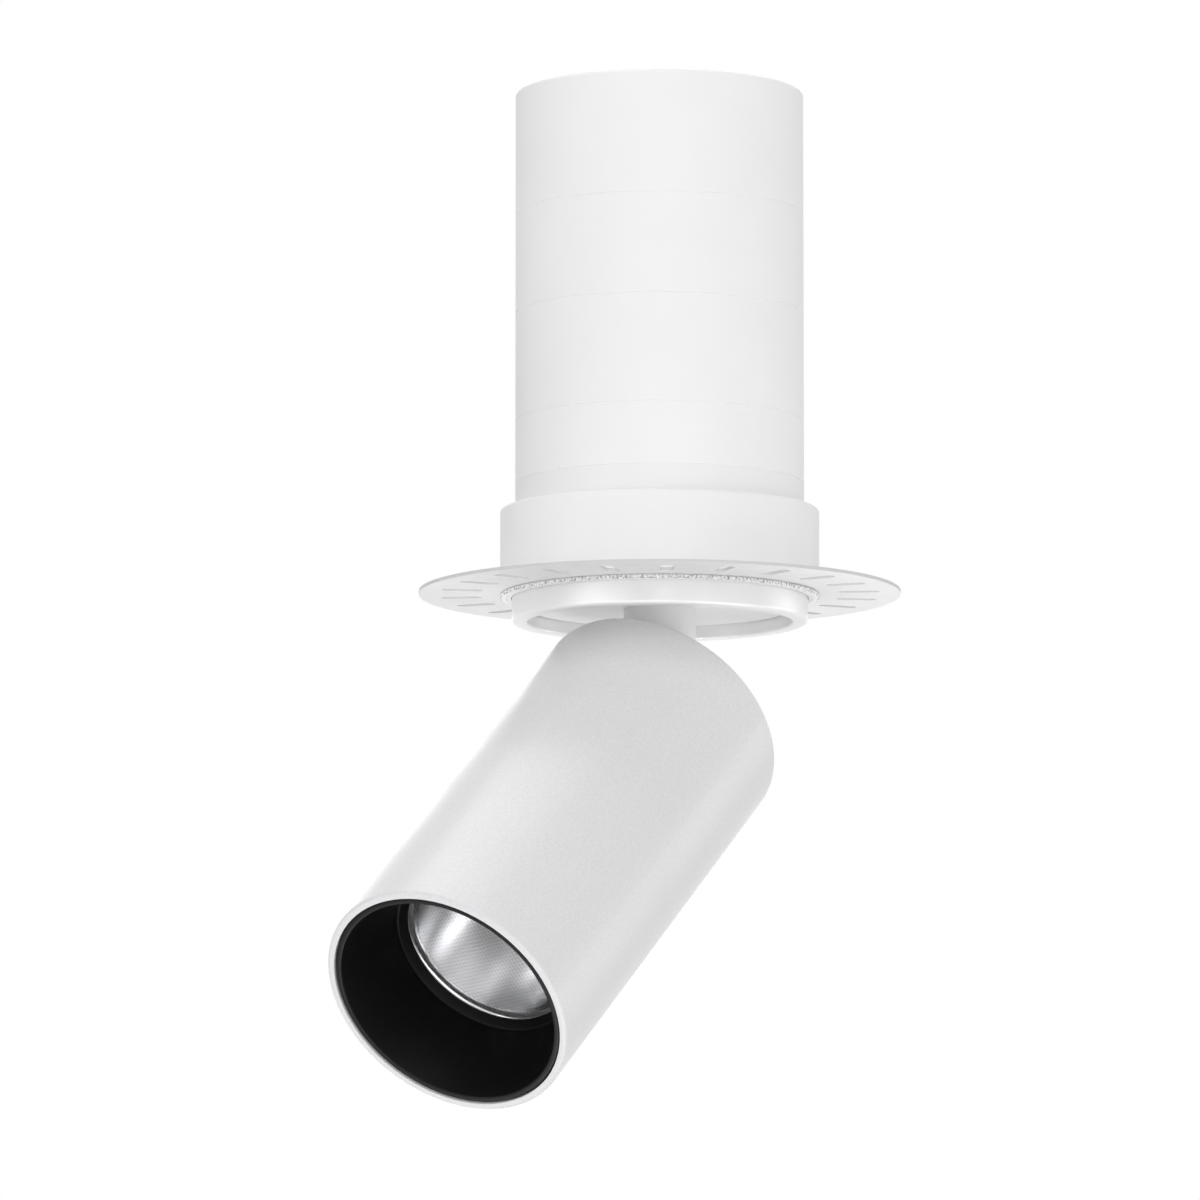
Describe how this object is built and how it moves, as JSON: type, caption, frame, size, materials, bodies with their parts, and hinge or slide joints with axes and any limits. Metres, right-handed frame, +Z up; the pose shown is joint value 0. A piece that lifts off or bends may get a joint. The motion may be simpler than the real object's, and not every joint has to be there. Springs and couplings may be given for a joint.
{
  "type": "recessed spotlight",
  "caption": "Trimless recessed ceiling spotlight: a can on a slotted plaster flange carries a bezel, swivel plate and stem with a tilting cylinder head, deep black baffle and lens.",
  "frame": {"origin": "on the can's axis, at the upper face of the plaster flange, which lies against the ceiling board", "axes": "+Z up along the can's axis; -Y through a slot of the flange on the pictured side; the head rests swivelled 36 degrees from -Y towards -X and tilted 50 degrees from hanging straight down"},
  "size_m": [0.133, 0.1487, 0.2446],
  "materials": {
    "can_paint": "smooth matt white paint",
    "flange_steel": "thin matt white primer on sheet steel",
    "bezel_paint": "satin white paint",
    "head_powder_coat": "fine-textured matt white powder coat",
    "black_baffle": "satin black",
    "lens_clear": "clear with a fine lenticular front",
    "reflector_bright": "bright vacuum-metallised, finely faceted",
    "bare_aluminium": "machined",
    "zinc_steel": "zinc plated",
    "black_rubber": "matt",
    "clear_silicone": "translucent",
    "white_nylon": "natural nylon",
    "grey_pad": "soft filled silicone",
    "driver_plastic": "pale grey moulded",
    "circuit_board": "green solder mask",
    "phosphor": "yellow phosphor under silicone"
  },
  "bodies": {
    "housing": {"plaster_flange": "flange_steel", "flange_ring_nut": "flange_steel", "plaster_collar": "can_paint", "bezel_ring": "bezel_paint", "can_base_section": "can_paint", "can_lower_section": "can_paint", "can_middle_section": "can_paint", "can_upper_section": "can_paint", "can_top_section": "can_paint", "cable_grommet": "black_rubber", "tie_screws": "zinc_steel", "bulkhead": "bare_aluminium", "bulkhead_screws": "zinc_steel", "swivel_bush": "white_nylon", "thrust_washer": "white_nylon", "stop_peg": "zinc_steel", "driver_bracket": "zinc_steel", "bracket_screws": "zinc_steel", "driver_case": "driver_plastic", "driver_lid": "driver_plastic", "driver_board": "circuit_board", "driver_screws": "zinc_steel", "terminal_block": "driver_plastic", "terminal_screws": "zinc_steel"},
    "swivel": {"spindle": "zinc_steel", "spindle_nuts": "zinc_steel", "disc_spring": "zinc_steel", "stop_tab": "zinc_steel", "swivel_disc": "bezel_paint", "swivel_stem": "bezel_paint"},
    "head": {"rear_cap": "head_powder_coat", "cap_grommet": "black_rubber", "cap_screws": "zinc_steel", "pivot_pin": "zinc_steel", "pivot_nut": "zinc_steel", "friction_washers": "white_nylon", "head_tube": "head_powder_coat", "grub_screws": "zinc_steel", "heat_sink": "bare_aluminium", "thermal_pad": "grey_pad", "led_board": "bare_aluminium", "led_emitter": "phosphor", "led_holder": "white_nylon", "holder_screws": "zinc_steel", "reflector": "reflector_bright", "lens": "lens_clear", "lens_seal": "clear_silicone", "baffle": "black_baffle", "baffle_o_ring": "black_rubber"}
  },
  "joints": [
    {"name": "head_swivel", "type": "hinge", "parent": "housing", "child": "swivel", "pos_m": [0, 0, 0], "axis": [0, 0, 1], "range_deg": [-170, 170]},
    {"name": "head_tilt", "type": "hinge", "parent": "swivel", "child": "head", "pos_m": [0, 0, -0.03058], "axis": [-0.809, 0.5878, 0], "range_deg": [-50, 10]}
  ]
}
